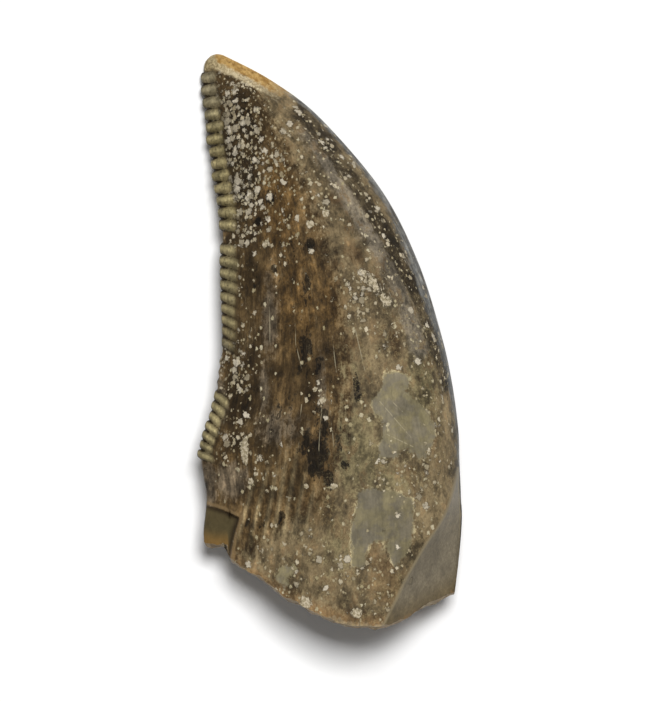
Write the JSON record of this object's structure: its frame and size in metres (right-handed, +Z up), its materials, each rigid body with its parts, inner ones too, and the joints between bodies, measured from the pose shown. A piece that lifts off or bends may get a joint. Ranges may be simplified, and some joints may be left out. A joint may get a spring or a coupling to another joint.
{
  "type": "fossil theropod tooth",
  "caption": "Recurved, flattened fossil tooth crown with a serrated rear edge, a smooth front edge, a rough broken base, a chip and a long spall; it lies on its flatter side.",
  "frame": {"origin": "under the middle of the crown's bounding box, on the surface that it lies on", "axes": "+Y from the broken base to the tip's end, +Z up out of the labial side, -X towards the serrated distal edge"},
  "size_m": [0.0093, 0.0201, 0.0051],
  "materials": {
    "fossil_enamel": "polished brown fossil enamel with pale flecks and black stains"
  },
  "bodies": {
    "root": {"tooth": "fossil_enamel"}
  },
  "joints": []
}
